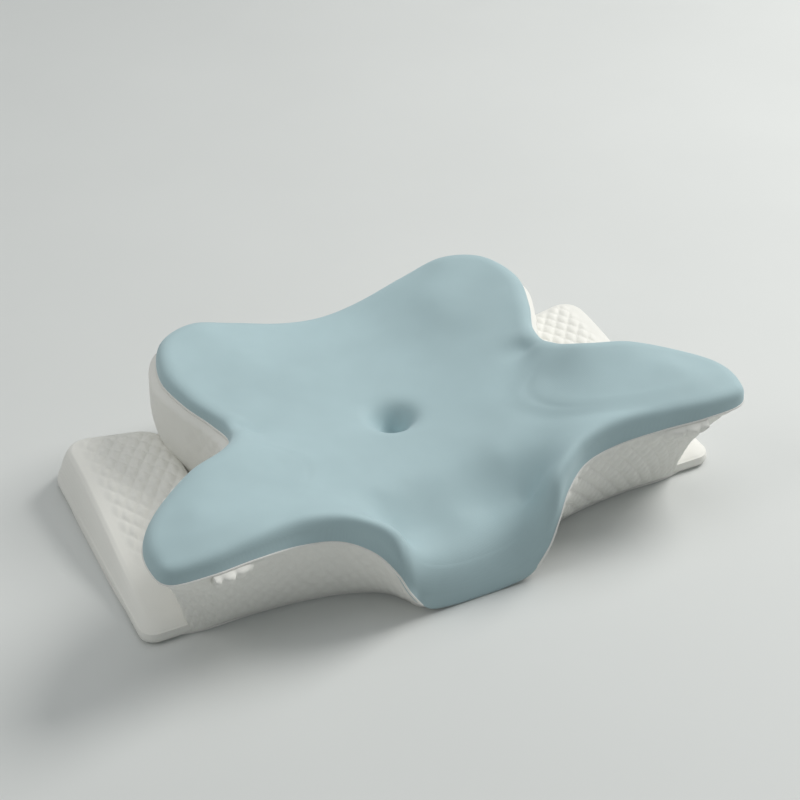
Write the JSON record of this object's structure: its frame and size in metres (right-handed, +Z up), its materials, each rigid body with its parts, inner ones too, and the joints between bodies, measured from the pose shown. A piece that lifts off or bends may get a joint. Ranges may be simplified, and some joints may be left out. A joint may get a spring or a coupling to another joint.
{
  "type": "cervical neck pillow",
  "caption": "Contoured memory-foam neck pillow with raised wings, side arm shelves and slots, a central head hollow and a zipped quilted cover.",
  "frame": {"origin": "centre of the pillow's width and depth, on the surface it rests on", "axes": "+X across the pillow to its right wing, +Y to the rear edge with the zip, +Z up"},
  "size_m": [0.5962, 0.3721, 0.138],
  "materials": {
    "foam": "open-cell memory foam",
    "liner_knit": "thin white jersey",
    "blue_knit": "blue-grey brushed cooling knit",
    "white_quilt": "white knit, quilted in small diamonds",
    "white_cord": "covered cord",
    "underside_mesh": "knitted mesh",
    "zip_tape": "woven polyester tape",
    "zip_resin": "moulded resin",
    "zip_metal": "satin nickel plate",
    "label_satin": "blank satin ribbon"
  },
  "bodies": {
    "pillow": {"foam_core": "foam", "inner_liner": "liner_knit", "top_panel": "blue_knit", "top_seam_piping": "white_cord", "rear_wall": "white_quilt", "side_wall_right": "white_quilt", "side_wall_left": "white_quilt", "front_wall_right": "white_quilt", "front_wall_left": "white_quilt", "shelf_cover_right": "white_quilt", "shelf_cover_left": "white_quilt", "base_panel": "underside_mesh", "base_seam_binding": "white_cord", "zip_tape_upper": "zip_tape", "zip_tape_lower": "zip_tape", "zip_teeth_upper": "zip_resin", "zip_teeth_lower": "zip_resin", "zip_top_stop_upper": "zip_metal", "zip_top_stop_lower": "zip_metal", "zip_bottom_stop": "zip_metal", "care_label": "label_satin"},
    "slider": {"zip_slider": "zip_metal"},
    "pull": {"zip_pull": "zip_metal"}
  },
  "joints": [
    {"name": "zip_slide", "type": "slide", "parent": "pillow", "child": "slider", "axis": [1, 0, 0], "range_m": [0, 0.19]},
    {"name": "pull_swing", "type": "hinge", "parent": "slider", "child": "pull", "pos_m": [-0.103, 0.1803, 0.024], "axis": [0, 0, 1], "range_deg": [0, 170]}
  ]
}
